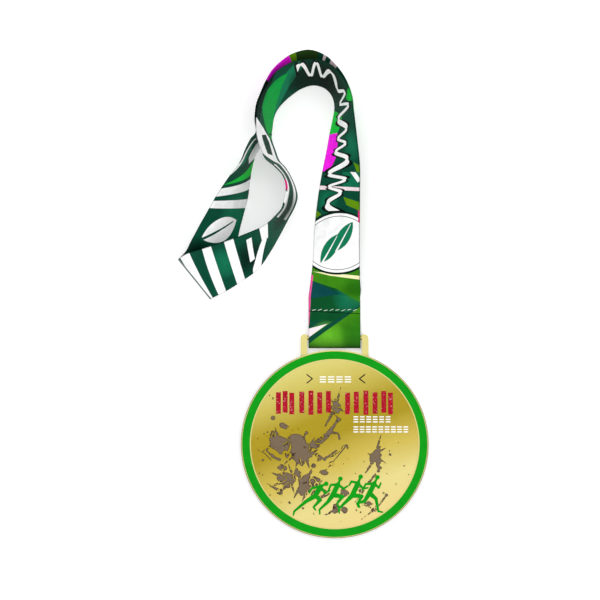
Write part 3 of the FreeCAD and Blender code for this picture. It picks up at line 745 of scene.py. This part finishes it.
def makeSeam():
    run = ribbonWidth / mm - 2 * seam["margin"] - seam["length"]
    y = barPlace.y + seam["distance"] * mm
    overTop = 3 * plyThickness + seam["thread"] * 0.55 * mm
    pieces = []
    for i in range(seam["count"]):
        x = -ribbonWidth / 2 + (seam["margin"] + seam["length"] / 2 + run * i / (seam["count"] - 1)) * mm
        wander = seam["wander"] * mm * math.sin(i * 2.3)
        pieces.append(makeStitch(i, Vector((x, y + wander, overTop))))
    deselectAll()
    for piece in pieces:
        piece.select_set(True)
    bpy.context.view_layer.objects.active = pieces[0]
    bpy.ops.object.join()
    thread = bpy.context.active_object
    thread.name = "seamStitches"
    bpy.ops.object.shade_smooth()
    material, tree, shader = newMaterial("sewingThread")
    place = objectPlace(tree)
    wave = tree.nodes.new("ShaderNodeTexWave")
    tree.links.new(place, wave.inputs["Vector"])
    wave.bands_direction = "DIAGONAL"
    wave.inputs["Scale"].default_value = 900.0
    wave.inputs["Distortion"].default_value = 1.5
    deep, pale = seam["tones"]
    tone = mixColour(tree, wave.outputs["Fac"], hexColour(deep), hexColour(pale))
    tree.links.new(tone, shader.inputs["Base Color"])
    bump(tree, shader, wave.outputs["Fac"], 0.5, 0.00004)
    shader.inputs["Roughness"].default_value = 0.6
    shader.inputs["Sheen Weight"].default_value = 0.2
    thread.data.materials.append(material)
    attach(thread, "ribbon")
    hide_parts("stitch_thread")
    return thread


stitches = makeSeam()
print("seam sewn")


# medal: the cast nodes keep their shapes and get plated and enamelled finishes

gold = {
    "lines": (-0.32, 0.95),     # across the painted reflection bands of light and deep gold
    "tones": [(0.0, "#C5B272"), (0.22, "#C1B574"), (0.4, "#AD9A42"), (0.54, "#8E7B12"), (0.66, "#907D14"),
              (0.82, "#A89A46"), (1.0, "#BAB26A")],
    "slew": 5.0,                # the bands lean more, further down the face
    "rimTone": "#B9B06F",
    "plain": ("#A8944A", "#BBA95F"),
    # dark brown of the painted shade on the disc's wall
    "paintedWallShade": "#3A2C22",
    "roughness": 0.36,
    "metallic": 0.8,
    "face": 0.043,              # reach of the tones, in metres, as are the sizes below
    "fieldRadius": 0.0404,
    "discRadius": 0.045,
    "thickness": 0.0035,
    "wallShadeUpTo": 0.0395,         # the painted wall shade ends short of the lug
}


def splitPlace(tree, place):
    split = tree.nodes.new("ShaderNodeSeparateXYZ")
    tree.links.new(place, split.inputs[0])
    return split.outputs[0], split.outputs[1], split.outputs[2]


def toneRamp(tree, factor, stops):
    ramp = tree.nodes.new("ShaderNodeValToRGB")
    for position, code in stops[1:-1]:
        ramp.color_ramp.elements.new(position)
    for element, (position, code) in zip(ramp.color_ramp.elements, stops):
        element.position = position
        element.color = hexColour(code)
    feed(tree, ramp.inputs[0], factor)
    return ramp.outputs[0]


# painted reflection: diagonal bands of pale and deep gold across the face, with a slight drift
def goldReflectionBands(tree, place, x, y):
    down = calc(tree, "MAXIMUM", calc(tree, "MULTIPLY", y, -gold["slew"]), 0.0)
    lean = calc(tree, "SUBTRACT", gold["lines"][0], down)
    slant = calc(tree, "MULTIPLY_ADD", x, lean, calc(tree, "MULTIPLY", y, gold["lines"][1]))
    drift = calc(tree, "MULTIPLY_ADD", noiseTexture(tree, place, 22.0, 2.0), 0.012, -0.006)
    tone = mapRange(tree, calc(tree, "ADD", slant, drift), -gold["face"], gold["face"])
    return toneRamp(tree, tone, gold["tones"])


def goldMaterial():
    material, tree, shader = newMaterial("goldPlate")
    place = objectPlace(tree)
    x, y, z = splitPlace(tree, place)
    # the face carries the painted reflection bands
    face = goldReflectionBands(tree, place, x, y)
    radius = tree.nodes.new("ShaderNodeVectorMath")
    radius.operation = "LENGTH"
    flat = tree.nodes.new("ShaderNodeVectorMath")
    flat.operation = "MULTIPLY"
    tree.links.new(place, flat.inputs[0])
    flat.inputs[1].default_value = (1, 1, 0)
    tree.links.new(flat.outputs[0], radius.inputs[0])
    outer = mapRange(tree, radius.outputs["Value"], gold["fieldRadius"] - 0.0004, gold["fieldRadius"])
    colour = mixColour(tree, outer, face, hexColour(gold["rimTone"]))
    behind = mapRange(tree, z, 0.0004, 0.0001)
    dull, bright = gold["plain"]
    plain = mixColour(tree, noiseTexture(tree, place, 60.0, 3.0), hexColour(dull), hexColour(bright))
    colour = mixColour(tree, behind, colour, plain)
    # painted shade: the disc's side wall and the outer corner of its rim are painted dark brown and less
    # metallic, in uneven patches, except near the lug
    wall = mapRange(tree, radius.outputs["Value"], gold["discRadius"] - 0.00045, gold["discRadius"] - 0.0002)
    low = mapRange(tree, z, gold["thickness"] + 0.0001, gold["thickness"] - 0.0002, 0.75, 1.0)
    below = mapRange(tree, y, gold["wallShadeUpTo"] + 0.0037, gold["wallShadeUpTo"])
    patches = mapRange(tree, noiseTexture(tree, place, 700.0, 4.0), 0.35, 0.75, 1.0, 0.75)
    paintedWallShade = calc(tree, "MULTIPLY", calc(tree, "MULTIPLY", wall, low), calc(tree, "MULTIPLY", below, patches))
    colour = mixColour(tree, paintedWallShade, colour, hexColour(gold["paintedWallShade"]))
    tree.links.new(colour, shader.inputs["Base Color"])
    metal = mapRange(tree, paintedWallShade, 0.0, 1.0, gold["metallic"], 0.25)
    tree.links.new(metal, shader.inputs["Metallic"])
    grain = noiseTexture(tree, place, 5200.0, 2.0)
    brushed = tree.nodes.new("ShaderNodeVectorMath")
    brushed.operation = "MULTIPLY"
    tree.links.new(place, brushed.inputs[0])
    brushed.inputs[1].default_value = (260, 5200, 260)
    lines = noiseTexture(tree, brushed.outputs[0], 1.0, 3.0)
    rough = mapRange(tree, lines, 0.3, 0.7, gold["roughness"] - 0.05, gold["roughness"] + 0.07)
    tree.links.new(rough, shader.inputs["Roughness"])
    bump(tree, shader, calc(tree, "ADD", grain, lines), 0.12, 0.00003)
    return material


mud = {
    "finest": 0.45,             # mm, longest edge on its face
    "halvings": 7,
    "sample": 0.12,             # mm, between points on an outline
    "edge": 0.4,                # mm, how far its painted edge shade reaches in
    "tone": "#74634F",
    # dark brown of the painted edge shade, also used for the specks
    "outline": "#3A2B22",
    "bites": (0.5, 0.72, 0.9),  # noise where bites begin and are deepest, and their depth in mm
    "gaps": (0.028, 7.0),       # half width of a gap in noise, and mm for one of noise
}


def makeMud():
    # the splashes, divided finely enough to carry how near each point is to an outline
    piece = bpy.data.objects.new("mudSplashes", frame["nodes"]["mud_splash_enamel"].data.copy())
    bpy.context.scene.collection.objects.link(piece)
    deselectAll()
    piece.select_set(True)
    bpy.context.view_layer.objects.active = piece
    bpy.ops.object.mode_set(mode="EDIT")
    bpy.ops.mesh.select_all(action="SELECT")
    bpy.ops.mesh.remove_doubles(threshold=0.000001)
    bpy.ops.mesh.dissolve_limited(angle_limit=math.radians(0.5))
    bpy.ops.mesh.quads_convert_to_tris(quad_method="BEAUTY", ngon_method="BEAUTY")
    bpy.ops.object.mode_set(mode="OBJECT")
    top = max(v.co.z for v in piece.data.vertices) - 0.00001
    data = piece.data
    walls = {key for face in data.polygons if face.normal.z < 0.5 for key in face.edge_keys}
    tops = {key for face in data.polygons if face.normal.z > 0.5 for key in face.edge_keys}
    lines = [(data.vertices[a].co.copy(), data.vertices[b].co.copy()) for a, b in sorted(walls & tops)]
    for _ in range(mud["halvings"]):
        bpy.ops.object.mode_set(mode="EDIT")
        bpy.ops.mesh.select_mode(type="EDGE")
        bpy.ops.mesh.select_all(action="DESELECT")
        bpy.ops.object.mode_set(mode="OBJECT")
        found = 0
        for edge in data.edges:
            a, b = (data.vertices[i].co for i in edge.vertices)
            if a.z > top and b.z > top and (a - b).length > mud["finest"] * mm:
                edge.select = True
                found += 1
        if not found:
            break
        bpy.ops.object.mode_set(mode="EDIT")
        bpy.ops.mesh.subdivide(number_cuts=1)
        bpy.ops.mesh.select_all(action="SELECT")
        bpy.ops.mesh.quads_convert_to_tris(quad_method="BEAUTY", ngon_method="BEAUTY")
        bpy.ops.object.mode_set(mode="OBJECT")
    samples = []
    for a, b in lines:
        count = max(1, math.ceil((b - a).length / (mud["sample"] * mm)))
        samples += [a.lerp(b, i / count) for i in range(count)]
    tree = kdtree.KDTree(len(samples))
    for i, place in enumerate(samples):
        tree.insert(place, i)
    tree.balance()
    depth = data.attributes.new("fromEdge", "FLOAT", "POINT")
    for vertex in data.vertices:
        depth.data[vertex.index].value = tree.find(vertex.co)[2] / mm if vertex.co.z > top else 0.0
    data.materials.clear()
    data.materials.append(mudMaterial())
    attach(piece, "medal")
    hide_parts("mud_splash_enamel")
    print("mud faces", len(data.polygons))


def mudMaterial():
    material, tree, shader = newMaterial("mudEnamel")
    place = objectPlace(tree)
    attribute = tree.nodes.new("ShaderNodeAttribute")
    attribute.attribute_name = "fromEdge"
    first, most, bite = mud["bites"]
    ragged = mapRange(tree, noiseTexture(tree, place, 620.0, 4.0, 0.62), first, most, 0.0, bite)
    depth = calc(tree, "SUBTRACT", attribute.outputs["Fac"], ragged)
    # winding gaps, except where the splashes are whole
    narrow, scale = mud["gaps"]
    line = calc(tree, "ABSOLUTE", calc(tree, "SUBTRACT", noiseTexture(tree, place, 250.0, 1.0), 0.5))
    whole = mapRange(tree, noiseTexture(tree, place, 140.0, 1.0), 0.5, 0.6, 0.0, 0.4)
    gap = calc(tree, "MULTIPLY", calc(tree, "SUBTRACT", calc(tree, "ADD", line, whole), narrow), scale)
    depth = calc(tree, "MINIMUM", depth, gap)
    # painted shade: darker within 0.4 mm of the splash outlines and the gaps
    edge = mapRange(tree, depth, 0.0, mud["edge"], 1.0, 0.0)
    colour = mixColour(tree, edge, hexColour(mud["tone"]), hexColour(mud["outline"]))
    specks = mapRange(tree, noiseTexture(tree, place, 1500.0, 3.0, 0.6), 0.58, 0.64, 0.0, 0.45)
    colour = mixColour(tree, specks, colour, hexColour(mud["outline"]))
    # where the enamel ran short, the plate shows at its edge, in the gold's painted reflection bands
    x, y, _ = splitPlace(tree, place)
    bare = mapRange(tree, depth, -0.02, -0.08)
    colour = mixColour(tree, bare, colour, goldReflectionBands(tree, place, x, y))
    tree.links.new(colour, shader.inputs["Base Color"])
    tree.links.new(mapRange(tree, bare, 0.0, 1.0, 0.0, gold["metallic"]), shader.inputs["Metallic"])
    shader.inputs["Roughness"].default_value = 0.4
    shader.inputs["Specular IOR Level"].default_value = 0.08
    bump(tree, shader, noiseTexture(tree, place, 700.0, 3.0), 0.15, 0.00006)
    return material


enamel = {
    "green": "#00930C",
    "red": "#A80A22",
    "chips": "#CDA2A0",         # where the red is worn
    "pits": "#4A0E18",
    "white": "#F8F8F4",
    "dark": "#241913",
    "roughness": 0.2,
    "wornRoughness": 0.3,
    "specular": 0.06,
}


def enamelMaterial(name, code, chips=None):
    material, tree, shader = newMaterial(name)
    place = objectPlace(tree)
    cloud = mapRange(tree, noiseTexture(tree, place, 220.0, 3.0), 0.3, 0.7, 0.92, 1.06)
    colour = hexColour(code)
    if chips:
        worn = mapRange(tree, noiseTexture(tree, place, 1150.0, 4.0, 0.65), 0.60, 0.625, 0.0, 0.8)
        colour = mixColour(tree, worn, colour, hexColour(chips))
        pits = mapRange(tree, noiseTexture(tree, place, 2300.0, 2.0), 0.64, 0.68, 0.0, 0.8)
        colour = mixColour(tree, pits, colour, hexColour(enamel["pits"]))
    glaze = tree.nodes.new("ShaderNodeVectorMath")
    glaze.operation = "SCALE"
    feed(tree, glaze.inputs[0], colour if isinstance(colour, bpy.types.NodeSocket) else colour[:3])
    feed(tree, glaze.inputs["Scale"], cloud)
    tree.links.new(glaze.outputs[0], shader.inputs["Base Color"])
    roughness = enamel["wornRoughness"] if chips else enamel["roughness"]
    gloss = mapRange(tree, noiseTexture(tree, place, 500.0, 2.0), 0.3, 0.7, roughness, roughness + 0.1)
    tree.links.new(gloss, shader.inputs["Roughness"])
    shader.inputs["Specular IOR Level"].default_value = enamel["specular"]
    bump(tree, shader, noiseTexture(tree, place, 800.0, 2.0), 0.06, 0.00005)
    return material


finishes = {
    "medal_body": goldMaterial(),
    "border_enamel": enamelMaterial("greenEnamel", enamel["green"]),
    "runners_enamel": enamelMaterial("runnerEnamel", enamel["green"]),
    "title_bars_enamel": enamelMaterial("redEnamel", enamel["red"], enamel["chips"]),
    "legend_dashes_enamel": enamelMaterial("whiteEnamel", enamel["white"]),
    "arrowheads_enamel": enamelMaterial("darkEnamel", enamel["dark"]),
}
for node, material in finishes.items():
    piece = frame["nodes"][node]
    piece.data.materials.clear()
    piece.data.materials.append(material)
makeMud()
print("medal finished")
